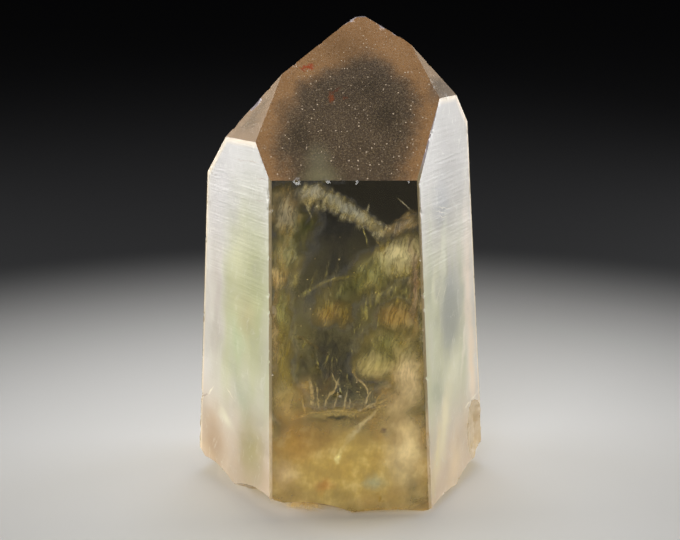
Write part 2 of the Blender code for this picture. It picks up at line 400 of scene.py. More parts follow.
# Marks on the satin sides: place, size across, through and up, lean, bearing,
# softness, colour and strength
SIDE_MARKS = (
    ((-11.3, -8.2, 24.7), (5.6, 4, 15.0), 0, -60, 1.0, (0.47, 0.49, 0.20), 0.85),
    ((-12.5, -6.1, 26.0), (4.0, 4, 9.0), 3, -60, 1.0, (0.62, 0.60, 0.31), 0.55),
    ((-12.6, -5.5, 29.8), (2.6, 4, 3.4), 20, -60, 1.0, (0.74, 0.72, 0.44), 0.55),
    ((-13.1, -5.7, 18.6), (2.2, 4, 4.2), 0, -60, 1.0, (0.46, 0.54, 0.30), 0.6),
    ((-11.8, -7.5, 22.4), (2.6, 4, 3.0), 0, -60, 1.0, (0.62, 0.52, 0.25), 0.45),
    ((-12.4, -7.5, 12.1), (2.6, 4, 3.2), 0, -60, 1.0, (0.42, 0.50, 0.28), 0.45),
    ((-15.5, -1.2, 22.9), (1.4, 4, 12.0), 0, -60, 1.0, (0.60, 0.52, 0.46), 0.6),
    ((-14.5, -1.9, 34.7), (3.6, 4, 7.0), 0, -60, 1.0, (0.64, 0.60, 0.60), 0.55),
    ((-16.3, -1.3, 4.7), (3.4, 4, 5.0), 0, -60, 1.0, (0.52, 0.34, 0.18), 0.85),
    ((-11.4, -9.6, 6.9), (3.6, 4, 5.0), 0, -60, 1.0, (0.38, 0.32, 0.10), 0.85),
    ((-14.5, -4.0, 8.7), (2.0, 4, 0.9), 18, -60, 1.0, (0.88, 0.82, 0.60), 0.8),
    # Painted shade: the next four marks darken the right face, at its top where the lamp lights it
    # most and in grey-blue ovals where the dark inside shows through.
    ((11.9, -3.2, 41.0), (8.0, 4, 10.0), 0, 60, 1.0, (0.35, 0.32, 0.285), 0.9),
    ((11.0, -5.9, 35.2), (3.0, 4, 3.4), 6, 60, 1.0, (0.31, 0.31, 0.31), 0.8),
    ((12.4, -5.4, 23.0), (4.4, 4, 6.0), 8, 60, 0.8, (0.34, 0.35, 0.32), 0.85),
    ((12.3, -5.8, 20.5), (2.4, 4, 4.4), 6, 60, 0.9, (0.38, 0.39, 0.33), 0.7),
    ((10.3, -10.2, 13.8), (2.4, 4, 2.4), 0, 60, 1.0, (0.42, 0.43, 0.28), 0.8),
    ((9.5, -10.0, 24.9), (1.5, 4, 10.0), 0, 60, 1.0, (0.56, 0.58, 0.36), 0.65),
    ((8.9, -12.4, 15.4), (1.6, 4, 9.0), 0, 60, 1.0, (0.56, 0.56, 0.33), 0.65),
    ((11.2, -6.6, 28.5), (1.0, 4, 5.0), 17, 60, 1.0, (0.84, 0.82, 0.62), 0.85),
    ((10.0, -9.1, 26.1), (1.0, 4, 2.6), 20, 60, 1.0, (0.86, 0.84, 0.58), 0.75),
    ((14.4, -2.7, 17.1), (0.5, 4, 4.2), 19, 60, 1.0, (0.92, 0.84, 0.68), 0.75),
    ((15.2, -0.4, 23.4), (1.7, 4, 12.0), 2, 60, 1.0, (1.0, 0.84, 0.68), 0.9),
    ((15.9, -0.5, 13.8), (1.3, 4, 6.0), 2, 60, 1.0, (0.98, 0.76, 0.52), 0.8),
    ((13.1, -5.2, 15.4), (2.2, 4, 3.6), 12, 60, 1.0, (0.80, 0.76, 0.56), 0.7),
    ((11.5, -8.8, 9.1), (1.8, 4, 5.4), 26, 60, 1.0, (0.95, 0.84, 0.52), 0.9),
    ((10.3, -11.2, 7.0), (1.2, 4, 3.6), 10, 60, 1.0, (0.90, 0.78, 0.42), 0.8),
    ((13.1, -6.8, 3.8), (2.6, 4, 4.0), 20, 60, 1.0, (0.84, 0.64, 0.38), 0.75),
    ((9.5, -13.0, 3.7), (1.4, 4, 2.6), 0, 60, 1.0, (0.72, 0.58, 0.30), 0.8),
    ((15.1, -3.0, 6.4), (2.0, 4, 3.0), 0, 60, 0.9, (0.68, 0.52, 0.32), 0.8),
)
# Hair-fine dark and bright lines on the satin sides: place, length and width,
# lean, bearing, colour and strength
BROWN_LINE, GREY_LINE, WHITE_LINE = (0.34, 0.22, 0.14), (0.30, 0.30, 0.30), (0.98, 0.90, 0.70)
SCRATCHES = (
    ((-10.7, -7.9, 40.8), (1.3, 0.06), -2, -60, BROWN_LINE, 0.8),
    ((-12.0, -5.8, 40.6), (1.6, 0.05), -3, -60, BROWN_LINE, 0.6),
    ((-9.9, -9.6, 39.1), (1.3, 0.07), -3, -60, BROWN_LINE, 0.7),
    ((-10.0, -9.6, 36.6), (1.4, 0.06), -4, -60, BROWN_LINE, 0.6),
    ((-17.3, 0.8, 10.1), (1.2, 0.10), -24, -60, BROWN_LINE, 0.7),
    ((-16.4, -0.5, 11.1), (1.1, 0.12), -45, -60, WHITE_LINE, 0.9),
    ((-13.9, -4.8, 12.2), (1.2, 0.08), 26, -60, WHITE_LINE, 0.8),
    ((10.5, -6.7, 37.2), (2.2, 0.07), 9, 60, GREY_LINE, 0.7),
    ((11.2, -5.7, 34.8), (2.0, 0.06), 14, 60, WHITE_LINE, 0.8),
    ((10.9, -6.3, 34.4), (1.7, 0.06), 15, 60, WHITE_LINE, 0.8),
    ((11.1, -6.0, 33.8), (1.6, 0.06), 13, 60, WHITE_LINE, 0.7),
    ((11.5, -6.6, 25.0), (1.3, 0.06), -48, 60, WHITE_LINE, 0.8),
    ((10.5, -8.3, 25.1), (1.4, 0.08), -45, 60, WHITE_LINE, 0.9),
    ((12.8, -5.3, 18.7), (0.8, 0.06), -53, 60, WHITE_LINE, 0.8),
    ((15.2, -2.4, 9.3), (1.0, 0.18), -12, 60, WHITE_LINE, 1.0),
    ((16.3, -0.5, 9.6), (1.3, 0.13), -10, 60, WHITE_LINE, 0.9),
    ((16.1, -1.3, 5.3), (0.5, 1.00), 10, 60, (0.14, 0.13, 0.16), 0.7),
)
# Clouds close under the clear front face: place across and up, size across and
# up, lean, softness, colour and strength
FRONT_CLOUDS = (
    ((-7.0, 35.5), (2.1, 3.4), 0, 1.0, (0.54, 0.45, 0.27), 0.58),
    ((-5.5, 37.5), (1.6, 1.4), 0, 1.0, (0.42, 0.36, 0.24), 0.42),
    ((-0.7, 36.2), (6.0, 0.9), 30, 0.9, (0.56, 0.54, 0.42), 0.44),
    ((-4.1, 38.0), (1.6, 1.1), 0, 0.9, (0.60, 0.56, 0.44), 0.44),
    ((5.7, 34.0), (2.4, 0.7), -27, 0.9, (0.50, 0.42, 0.30), 0.40),
    ((5.4, 30.6), (3.8, 2.3), -28, 0.9, (0.80, 0.67, 0.32), 0.80),
    ((2.5, 28.7), (2.0, 2.4), 0, 1.0, (0.58, 0.54, 0.24), 0.52),
    ((-7.1, 31.0), (2.0, 3.0), 0, 1.0, (0.50, 0.46, 0.20), 0.42),
    ((-8.1, 28.1), (1.0, 2.1), 0, 0.9, (0.78, 0.54, 0.20), 0.80),
    ((-7.5, 24.2), (1.4, 3.0), 0, 1.0, (0.50, 0.46, 0.15), 0.46),
    ((-2.8, 24.3), (1.9, 1.7), 0, 0.8, (0.42, 0.27, 0.055), 0.54),
    ((-0.7, 23.9), (1.2, 1.8), 0, 0.8, (0.42, 0.28, 0.055), 0.48),
    ((5.3, 23.5), (2.3, 1.8), 0, 0.8, (0.56, 0.36, 0.10), 0.64),
    ((6.4, 16.6), (2.0, 5.4), 0, 0.9, (0.88, 0.65, 0.32), 0.86),
    ((5.4, 12.5), (2.7, 3.0), 0, 1.0, (0.78, 0.56, 0.26), 0.66),
    ((2.8, 18.0), (2.8, 2.0), 0, 1.0, (0.74, 0.57, 0.19), 0.76),
    ((-7.6, 18.1), (1.4, 5.3), 0, 1.0, (0.46, 0.34, 0.07), 0.44),
    ((-7.3, 13.9), (2.0, 3.0), 0, 1.0, (0.66, 0.46, 0.14), 0.50),
    ((-1.1, 12.4), (5.4, 0.8), 0, 1.0, (0.70, 0.54, 0.19), 0.46),
    ((-0.3, 5.7), (14.0, 7.2), 0, 0.7, (0.62, 0.42, 0.085), 0.76),
    ((-6.4, 8.8), (3.0, 2.5), 0, 1.0, (0.64, 0.36, 0.05), 0.62),
    ((6.3, 8.1), (2.9, 5.5), 0, 0.9, (0.94, 0.72, 0.34), 0.86),
    ((-4.1, 9.8), (2.4, 2.1), 0, 1.0, (0.46, 0.29, 0.06), 0.42),
    ((-3.1, 3.9), (1.3, 0.9), 0, 0.9, (0.62, 0.30, 0.05), 0.60),
    ((2.7, 4.1), (1.4, 1.1), 0, 1.0, (0.48, 0.46, 0.24), 0.50),
    ((-7.8, 5.4), (1.6, 1.6), 0, 1.0, (0.78, 0.58, 0.28), 0.60),
    ((7.2, 27.3), (0.6, 6.4), 0, 0.9, (0.46, 0.30, 0.18), 0.50),
    ((-8.5, 21.5), (0.6, 8.0), 0, 0.9, (0.56, 0.38, 0.16), 0.40),
    ((-1.3, 11.9), (2.4, 0.3), 3, 0.8, (0.05, 0.05, 0.02), 0.55),
    ((0.5, 27.0), (5.6, 2.2), -25, 1.0, (0.34, 0.32, 0.09), 0.36),
    ((-4.9, 33.6), (1.6, 2.6), 20, 1.0, (0.26, 0.27, 0.07), 0.22),
    ((4.3, 20.2), (3.6, 2.4), 0, 1.0, (0.36, 0.33, 0.10), 0.42),
    ((1.4, 10.9), (0.42, 3.2), 39, 1.0, (0.80, 0.66, 0.34), 0.62),
    # A painted glint: a bright yellow spot for light caught by a tiny crack.
    ((-1.4, 7.2), (0.56, 0.75), 25, 0.8, (1.0, 0.86, 0.32), 0.95),
    ((3.9, 10.0), (0.50, 0.32), -15, 0.7, (0.17, 0.10, 0.05), 0.90),
)
# How deep those clouds reach, so that they cover the front face wherever it tapers
THROUGH = 40.0
# Marks on the point's faces, as SIDE_MARKS gives them
POINT_MARKS = (
    ((-4.3, -2.3, 50.8), (0.75, 1.2, 0.30), -8, 0, 0.7, (0.46, 0.07, 0.02), 0.95),
    ((-4.9, -2.6, 50.6), (0.4, 1.2, 0.16), 30, 0, 0.8, (0.42, 0.09, 0.03), 0.8),
    ((-1.65, -4.8, 47.5), (0.40, 1.2, 0.44), 0, 0, 0.8, (0.46, 0.09, 0.02), 0.9),
    ((-1.2, -4.4, 48.3), (0.9, 1.2, 0.14), -30, 0, 0.9, (0.30, 0.07, 0.03), 0.6),
    ((-0.1, -4.8, 47.5), (0.24, 1.0, 0.22), 0, 0, 0.8, (0.30, 0.07, 0.03), 0.6),
    ((-3.4, -9.8, 41.0), (1.6, 4, 2.1), -10, 0, 1.0, (0.40, 0.37, 0.25), 0.65),
    ((-3.3, -10.8, 39.5), (2.4, 4, 1.0), 0, 0, 1.0, (0.46, 0.43, 0.26), 0.65),
    # Painted shade: the next three near-black marks darken the point's smoky middle further.
    ((4.4, -6.4, 45.8), (2.0, 4, 2.2), 10, 0, 1.0, (0.02, 0.018, 0.016), 0.5),
    ((2.6, -4.4, 48.6), (2.4, 4, 1.6), 0, 0, 1.0, (0.03, 0.025, 0.02), 0.4),
    ((-5.4, -8.0, 43.6), (1.3, 4, 1.9), 0, 0, 1.0, (0.02, 0.018, 0.016), 0.5),
    ((-0.4, -0.9, 52.8), (3.4, 4, 2.4), 0, 0, 1.0, (0.20, 0.11, 0.045), 0.5),
    ((11.4, -2.4, 48.0), (3.4, 1.4, 4.6), 0, 60, 0.6, (0.17, 0.135, 0.105), 0.75),
)


def with_marks(tree, place, colour, marks):
    """Adds each mark to a colour in turn."""
    for centre, radii, lean, bearing, softness, mark_colour, strength in marks:
        inside = patch(tree, place, centre, radii, lean, bearing, softness)
        colour = blend(tree, maths(tree, "MULTIPLY", inside, strength), colour, mark_colour)
    return colour


def side_colour(tree, place, height, rim):
    """Satin darker towards the top as painted shade against the lamps' stronger light there, green
    in the middle, pink below and cream at the rim as a painted highlight.
    """
    uneven = stirred(tree, place, 0.28, 3.4)
    bands = cloudy(tree, stretched(tree, place, (4.5, 4.5, 22.0)), 1.0, 3.0)
    mottle = cloudy(tree, place, 0.3, 4.0)
    green = both(
        tree,
        falling(tree, height, 26.0, 40.0),
        smooth(tree, height, 5.0, 16.0),
        smooth(tree, rim, 1.0, 6.0),
        smooth(tree, bands, 0.25, 0.62),
        0.7,
    )
    # Darker towards the top: painted shade against the lamps' stronger light there.
    pale = blend(tree, smooth(tree, height, 28.0, 41.0), SATIN_LOW, SATIN_SHADED_TOP)
    colour = blend(tree, green, pale, SATIN_GREEN)
    foot = maths(tree, "MULTIPLY", falling(tree, height, 3.0, 15.0), 0.75)
    colour = blend(tree, foot, colour, SATIN_FOOT)
    colour = with_marks(tree, uneven, colour, SIDE_MARKS)
    fibres = cloudy(tree, stretched(tree, uneven, (0.5, 0.5, 3.2), 16), 1.0, 3.0)
    colour = blend(tree, smooth(tree, fibres, 0.55, 0.80, 0.0, 0.4), colour, SATIN_FIBRE)
    colour = blend(tree, smooth(tree, mottle, 0.46, 0.26, 0.0, 0.22), colour, SATIN_DUSK)
    # A cream painted highlight along the edges of the side faces.
    cream = falling(tree, rim, 0.15, 0.9)
    colour = blend(tree, maths(tree, "MULTIPLY", cream, 0.85), colour, RIM_HIGHLIGHT)
    lines = stirred(tree, place, 1.6, 0.5)
    thin = [
        (centre, (length, 1.0, width), lean, bearing, 0.9, tone, strength)
        for centre, (length, width), lean, bearing, tone, strength in SCRATCHES
    ]
    return with_marks(tree, lines, colour, thin)


def point_colour(tree, place, border, narrow):
    """A warm brown border of painted light round a darker smoky middle of painted shade, all of it
    finely grained.
    """
    mottle = cloudy(tree, place, 0.35, 4.0)
    grain = cloudy(tree, place, 5.2, 3.0, 0.75)
    # The dark middle is painted shade and the warm border is painted light.
    middle = blend(tree, mottle, SHADED_MIDDLE_DARK, SHADED_MIDDLE_PALE)
    warm = blend(tree, mottle, LIT_BORDER_DARK, LIT_BORDER_PALE)
    colour = blend(tree, border, middle, warm)
    pale = both(tree, smooth(tree, grain, 0.50, 0.68), smooth(tree, border, 0.0, 1.0, 0.7, 0.35))
    colour = blend(tree, pale, colour, GRAIN_PALE)
    colour = blend(tree, smooth(tree, grain, 0.46, 0.32, 0.0, 0.5), colour, GRAIN_DARK)
    colour = blend(tree, maths(tree, "MULTIPLY", narrow, 0.6), colour, NARROW_FAWN)
    return with_marks(tree, stirred(tree, place, 2.2, 1.0), colour, POINT_MARKS)


def front_clouds(tree, place, height):
    """The colour of the clouds close under the front face, and how much they hide."""
    bent = stirred(tree, place, 0.3, 2.4)
    uneven = stirred(tree, bent, 1.6, 1.0)
    colour, amount = CLOUD_OLIVE, 0.0
    for (across, up), (wide, high), lean, softness, tone, strength in FRONT_CLOUDS:
        inside = patch(
            tree, uneven, (across, 0, up), (wide, THROUGH, high), lean, 0.0, softness
        )
        colour = blend(tree, inside, colour, tone)
        amount = maths(tree, "MAXIMUM", amount, maths(tree, "MULTIPLY", inside, strength))
    hairs = cloudy(tree, stretched(tree, bent, (0.30, 0.8, 1.7), 13), 1.0, 4.0, 0.65)
    hairs = smooth(tree, hairs, 0.36, 0.64, -1.0, 1.0)
    thick = total(tree, 1.0, both(tree, hairs, smooth(tree, height, 11.0, 24.0, 0.05, 0.45)))
    mottle = cloudy(tree, place, 0.45, 3.0)
    colour = blend(tree, smooth(tree, mottle, 0.5, 0.7, 0.0, 0.3), colour, CLOUD_GOLD)
    return colour, both(tree, amount, thick, smooth(tree, mottle, 0.3, 0.7, 0.75, 1.2))


def worn_colour(tree, place, height):
    """Golden cream on the foot's breaks, tan on the long edges, lavender grey above."""
    mottle = cloudy(tree, place, 0.7, 4.0)
    broken = blend(tree, mottle, BREAK_DARK, BREAK_PALE)
    edge = blend(tree, smooth(tree, height, 39.2, 41.5), EDGE_TAN, EDGE_LAVENDER)
    return blend(tree, smooth(tree, height, 11.6, 13.2), broken, edge)


def surface_relief(tree, place, side, point):
    """Fine ridges across the prism, grain all over and pits on the point."""
    ridges = cloudy(tree, stretched(tree, place, (9.0, 9.0, 0.30)), 1.0, 2.0)
    pits = cloudy(tree, place, 3.6, 3.0, 0.65)
    relief = total(
        tree,
        both(tree, side, ridges, 0.7),
        maths(tree, "MULTIPLY", pits, maths(tree, "ADD", 0.04, both(tree, side, 0.2))),
        both(tree, point, pits, 1.1),
    )
    fed = {"Strength": 0.4, "Distance": 0.07 * MM, "Height": relief}
    return made_node(tree, "ShaderNodeBump", fed).outputs[0]


def citrine():
    """Clear smoky quartz, satin on the sides, brown and pitted on the point."""
    material, tree, output = new_finish("smoky citrine")
    surface = made_node(tree, "ShaderNodeBsdfPrincipled")
    place = place_in_mm(tree)
    height = height_of(tree, place)
    names = ("is_side", "is_front", "is_point", "is_worn", "is_narrow", "rim", "border")
    side, front, point, worn, narrow, rim, edge_distance = (attribute(tree, n) for n in names)

    # The band along the point's edges that carries the painted light of the brown border
    wobble = maths(tree, "MULTIPLY", cloudy(tree, place, 0.6, 6.0, 0.7), 4.0)
    wider_above = smooth(tree, height, 47.0, 53.5, 0.0, -2.6)
    border = falling(tree, total(tree, edge_distance, wobble, wider_above), 2.2, 5.8)
    # Two sets of pale specks on the point: painted glints of its tiny pits.
    pit_glints = speckles(tree, place, 6.0, 0.5, 0.42)
    spark = both(tree, point, speckles(tree, place, 3.0, 0.28, 0.28))

    cloud_colour, cloud_share = front_clouds(tree, place, height)
    cloud_share = both(tree, front, cloud_share)
    colour = blend(tree, side, CLEAR_STONE, side_colour(tree, place, height, rim))
    colour = blend(tree, smooth(tree, cloud_share, 0.0, 0.13), colour, cloud_colour)
    colour = blend(tree, point, colour, point_colour(tree, place, border, narrow))
    colour = blend(tree, both(tree, point, pit_glints, 0.6), colour, PIT_GLINT)
    colour = blend(tree, worn, colour, worn_colour(tree, place, height))
    colour = blend(tree, spark, colour, SPARK)
    feed(tree, surface.inputs["Base Color"], colour)

    cloud = cloudy(tree, place, 0.22, 3.0)
    opaque = total(
        tree,
        cloud_share,
        both(tree, side, smooth(tree, cloud, 0.3, 0.7, 0.62, 0.78)),
        both(tree, point, total(tree, maths(tree, "MULTIPLY", border, 0.38), 0.40)),
        maths(tree, "MULTIPLY", worn, 0.62),
    )
    opaque = maths(tree, "MAXIMUM", opaque, spark)
    see_through = maths(tree, "SUBTRACT", CLEAREST, opaque, True)
    feed(tree, surface.inputs["Transmission Weight"], see_through)

    rough = total(
        tree,
        0.04,
        maths(tree, "MULTIPLY", side, 0.26),
        maths(tree, "MULTIPLY", point, 0.28),
        maths(tree, "MULTIPLY", worn, 0.20),
    )
    feed(tree, surface.inputs["Roughness"], rough)
    surface.inputs["IOR"].default_value = CITRINE_IOR
    feed(tree, surface.inputs["Normal"], surface_relief(tree, place, side, point))

    clear = made_node(tree, "ShaderNodeBsdfTransparent", {"Color": SHADE_TINT})
    path = made_node(tree, "ShaderNodeLightPath")
    fed = {0: path.outputs["Is Shadow Ray"], 1: surface.outputs[0], 2: clear.outputs[0]}
    mix = made_node(tree, "ShaderNodeMixShader", fed)
    feed(tree, output.inputs["Surface"], mix.outputs[0])
    fed = {"Color": SMOKE_COLOUR, "Density": SMOKE_DENSITY}
    inside = made_node(tree, "ShaderNodeVolumeAbsorption", fed)
    feed(tree, output.inputs["Volume"], inside.outputs[0])
    return material


# What is inside the stone

# The way in which sight through the front face runs on in the stone, by the
# millimetre behind that face
SIGHT_FROM_FRONT = Vector((0.0377, 0.983, -0.1817)) / 0.983
SHEET_STEP = 0.34
SKIN = 0.35


def spot_under(face, across, height, depth):
    """The place under a prism face at this spot, so deep."""
    normal, distance = FACES[face]
    outward = facing(PRISM_FACES[face][0], 0)
    aside = facing(PRISM_FACES[face][0] + 90, 0)
    reach = (distance - normal.z * height) / outward.dot(normal)
    inward = SIGHT_FROM_FRONT if face == "front" else -outward
    return outward * reach + aside * across + Vector((0, 0, height)) + inward * depth


def keep_inside(shape):
    """Pushes points that would stand out of the crystal back under its skin."""
    for vert in shape.verts:
        for _ in range(2):
            for normal, distance in FACES.values():
                over = normal.dot(vert.co) - (distance - SKIN)
                if over > 0:
                    vert.co -= normal * over
        vert.co.z = max(vert.co.z, SKIN)


def new_matter():
    """An empty shape for sheets, with a value at each point for how thick they are there."""
    shape = bmesh.new()
    shape.verts.layers.float.new("fade")
    return shape


def add_sheet(shape, centre, size, lean=0.0, looks=(0, 0), crumple=0.3, seed=0):
    """Adds a crumpled sheet that thins out towards its border."""
    fade = shape.verts.layers.float["fade"]
    counts = [min(48, max(4, round(side / SHEET_STEP))) for side in size]
    made = bmesh.ops.create_grid(shape, x_segments=counts[0], y_segments=counts[1], size=0.5)
    shift = Vector((seed * 17.3, seed * 5.1, 0))
    turn = facing(*looks).to_track_quat("Z", "Y").to_matrix().to_4x4()
    place = Matrix.Translation(centre) @ turn @ Matrix.Rotation(math.radians(lean), 4, "Z")
    for vert in made["verts"]:
        reach = (vert.co * 2).length + 0.25 * noise.noise(vert.co * 4 + shift)
        thick = max(0.0, 1.0 - reach * reach)
        vert[fade] = thick ** 1.3
        flat = Vector((vert.co.x * size[0], vert.co.y * size[1], 0))
        rise = noise.fractal(flat * 0.5 + shift, 1.0, 2.0, 3)
        vert.co = place @ (flat + Vector((0, 0, rise * crumple)))


def add_swarm(shape, middle, size, flake, count, lean=0.0, slant=0.0, face="front", seed=0):
    """Scatters small sheets through an oval region under a face.

    The middle is a spot, the size is how wide, high and deep the region is, and
    it leans to the left at its top by lean. A flake is so wide and high and
    turned by about slant.
    """
    scatter = random.Random(seed)
    bearing = PRISM_FACES[face][0]
    tilt = math.radians(lean)
    for index in range(count):
        reach, turn = math.sqrt(scatter.random()), scatter.uniform(0, math.tau)
        along = reach * math.cos(turn) * size[0] / 2
        up = reach * math.sin(turn) * size[1] / 2
        across = middle[0] + along * math.cos(tilt) - up * math.sin(tilt)
        height = middle[1] + along * math.sin(tilt) + up * math.cos(tilt)
        centre = spot_under(face, across, height, middle[2] + scatter.random() * size[2])
        grow = scatter.uniform(0.5, 1.6)
        looks = (bearing + scatter.uniform(-38, 38), scatter.uniform(-20, 20))
        turned = slant + scatter.gauss(0, 17)
        sides = (flake[0] * grow, flake[1] * grow)
        add_sheet(shape, centre, sides, turned, looks, 0.25, seed * 40 + index)


def add_strand(shape, start, end, bend, width, depth, seed=0, face="front"):
    """Adds a chain of small sheets along a slightly bent line, thinner at its end."""
    scatter = random.Random(seed)
    run = Vector(end) - Vector(start)
    aside = Vector((-run.y, run.x)).normalized()
    count = max(3, round(run.length / 0.6))
    for index in range(count):
        part = (index + 0.5) / count
        offset = bend * math.sin(part * math.pi) + scatter.gauss(0, width * 0.08)
        spot = Vector(start) + run * part + aside * offset
        slope = math.atan2(bend * math.pi * math.cos(part * math.pi), run.length)
        lean = math.degrees(math.atan2(run.y, run.x) + slope) + scatter.gauss(0, 4)
        thinner = 1.2 - 0.7 * part
        sides = (run.length / count * scatter.uniform(2.0, 3.0), width * thinner)
        centre = spot_under(face, spot.x, spot.y, depth + scatter.uniform(-0.1, 0.2))
        looks = (PRISM_FACES[face][0] + scatter.uniform(-14, 14), scatter.uniform(-9, 9))
        add_sheet(shape, centre, sides, lean, looks, 0.08, seed * 30 + index)


def matter(name, colours, strength, lengths, lean=0.0, contrast=(0.30, 0.60), fibre=0.5):
    """Fine milky matter whose amount follows a broad cloud and leaning fibres."""
    material, tree, output = new_finish(name)
    place = place_in_mm(tree)
    broad = cloudy(tree, place, 0.5, 3.0)
    threads = cloudy(tree, stretched(tree, place, lengths, lean), 1.0, 3.0, 0.6)
    threads = smooth(tree, threads, 0.36, 0.66, 1.0 - fibre, 1.0)
    filled = both(tree, smooth(tree, broad, *contrast), threads, attribute(tree, "fade"), strength)
    colour = blend(tree, smooth(tree, broad, 0.4, 0.6), *colours)
    lit = made_node(tree, "ShaderNodeBsdfDiffuse", {"Color": colour})
    through = made_node(tree, "ShaderNodeBsdfTranslucent", {"Color": colour})
    fed = {0: 0.5, 1: lit.outputs[0], 2: through.outputs[0]}
    halves = made_node(tree, "ShaderNodeMixShader", fed)
    clear = made_node(tree, "ShaderNodeBsdfTransparent")
    fed = {0: filled, 1: clear.outputs[0], 2: halves.outputs[0]}
    mix = made_node(tree, "ShaderNodeMixShader", fed)
    feed(tree, output.inputs["Surface"], mix.outputs[0])
    return material


def finished_matter(name, shape, finish):
    """Finishes a shape that lies wholly under the crystal's skin."""
    keep_inside(shape)
    finished(name, shape, finish)


def milky_veils():
    """The pale diagonal veil near the top of the front face, and wisps in the back."""
    shape = new_matter()
    add_swarm(shape, (-4.0, 37.3, 1.0), (3.8, 2.2, 1.2), (0.8, 1.4), 34, -20, -20, seed=1)
    add_swarm(shape, (-1.0, 36.3, 1.0), (5.8, 1.6, 1.2), (0.7, 1.2), 52, -32, -18, seed=2)
    add_swarm(shape, (2.0, 34.3, 1.0), (4.4, 1.3, 1.2), (0.7, 1.0), 36, -34, -16, seed=3)
    add_swarm(shape, (3.9, 33.2, 1.0), (1.6, 1.6, 1.0), (0.4, 1.1), 10, 0, -10, seed=4)
    add_strand(shape, (-5.3, 37.2), (-4.2, 34.6), 0.1, 0.36, 1.1, 5)
    add_strand(shape, (2.0, 36.2), (1.6, 34.4), 0.0, 0.40, 1.1, 6)
    add_strand(shape, (5.6, 36.9), (7.0, 35.6), 0.0, 0.22, 1.0, 7)
    add_swarm(shape, (-4.0, 22.0, 1.2), (4.0, 8.0, 3.0), (1.2, 3.0), 5, -20, -14, "back", 9)
    finish = matter(
        "milky veil", ((0.70, 0.66, 0.52), (0.92, 0.90, 0.84)), 0.62,
        (0.20, 0.8, 1.1), 16, (0.20, 0.50), 0.7,
    )
    finished_matter("milky_veils", shape, finish)


def tan_hazes():
    """Dull tan haze: high in the left, beside the veil, and down the right edge."""
    shape = new_matter()
    add_swarm(shape, (-7.2, 35.0, 1.0), (3.2, 7.2, 1.6), (0.8, 1.5), 30, 0, -12, seed=20)
    add_swarm(shape, (6.2, 34.3, 1.0), (4.6, 1.5, 1.2), (1.5, 0.7), 20, 26, 26, seed=21)
    add_swarm(shape, (6.6, 17.6, 1.0), (3.8, 11.0, 2.2), (1.0, 2.4), 34, 0, -6, seed=23)
    add_swarm(shape, (4.2, 15.6, 1.2), (4.4, 5.4, 2.0), (1.4, 2.0), 14, 0, -20, seed=24)
    add_swarm(shape, (7.4, 26.0, 1.0), (1.4, 9.0, 1.0), (0.5, 1.5), 24, 0, -8, seed=26)
    add_swarm(shape, (-8.0, 28.4, 0.9), (1.4, 6.4, 1.0), (0.6, 1.8), 18, 0, 0, seed=27)
    finish = matter(
        "tan haze", ((0.60, 0.44, 0.24), (0.84, 0.68, 0.42)), 0.5,
        (0.4, 0.8, 1.5), 10, (0.24, 0.52), 0.6,
    )
    finished_matter("tan_hazes", shape, finish)


def green_clouds():
    """Yellow-green clouds with hair-like streaks."""
    shape = new_matter()
    add_swarm(shape, (5.4, 30.4, 1.0), (5.4, 4.4, 2.0), (0.5, 2.0), 70, 10, -12, seed=40)
    add_swarm(shape, (2.4, 28.0, 1.0), (3.4, 4.4, 1.6), (0.4, 1.9), 40, 0, -14, seed=41)
    add_swarm(shape, (4.9, 26.4, 1.0), (4.6, 2.4, 1.6), (0.4, 1.5), 22, 0, -10, seed=42)
    add_swarm(shape, (-7.2, 29.8, 1.2), (3.0, 8.0, 2.0), (0.8, 2.2), 30, 0, -20, seed=43)
    add_swarm(shape, (-7.3, 20.8, 1.0), (2.8, 12.0, 2.0), (0.6, 2.4), 44, 0, 0, seed=45)
    add_swarm(shape, (-3.2, 18.4, 2.0), (6.0, 6.0, 3.0), (0.5, 2.6), 9, 0, 3, seed=46)
    add_swarm(shape, (-0.6, 25.0, 1.4), (11.0, 10.0, 2.5), (0.30, 2.6), 30, 0, -16, seed=44)
    add_swarm(shape, (-1.0, 17.0, 1.0), (10.0, 6.0, 2.0), (0.22, 2.0), 26, 0, 2, seed=39)
    add_swarm(shape, (1.6, 24.0, 1.0), (0.7, 2.0, 0.6), (0.35, 1.1), 10, 0, 4, seed=47)
    add_swarm(shape, (5.7, 26.1, 1.0), (0.6, 1.8, 0.6), (0.35, 1.0), 9, -32, -32, seed=48)
    add_swarm(shape, (3.4, 20.6, 1.2), (7.0, 1.8, 2.0), (0.8, 1.6), 12, 10, -8, seed=49)
    add_strand(shape, (1.3, 34.2), (2.0, 31.2), 0.1, 0.22, 1.0, 54)
    add_strand(shape, (-5.4, 26.3), (-1.6, 28.2), 0.15, 0.55, 1.0, 50)
    add_strand(shape, (-1.8, 28.0), (1.0, 28.7), -0.1, 0.45, 1.0, 51)
    for face, seed in (("back", 52), ("back left", 53), ("back right", 55)):
        add_swarm(shape, (2.0, 20.0, 1.2), (8.0, 22.0, 3.0), (1.0, 3.2), 7, 0, 8, face, seed)
    finish = matter(
        "green cloud", ((0.54, 0.48, 0.14), (0.78, 0.74, 0.34)), 0.55,
        (0.26, 0.8, 1.5), 12, (0.24, 0.52), 0.75,
    )
    finished_matter("green_clouds", shape, finish)


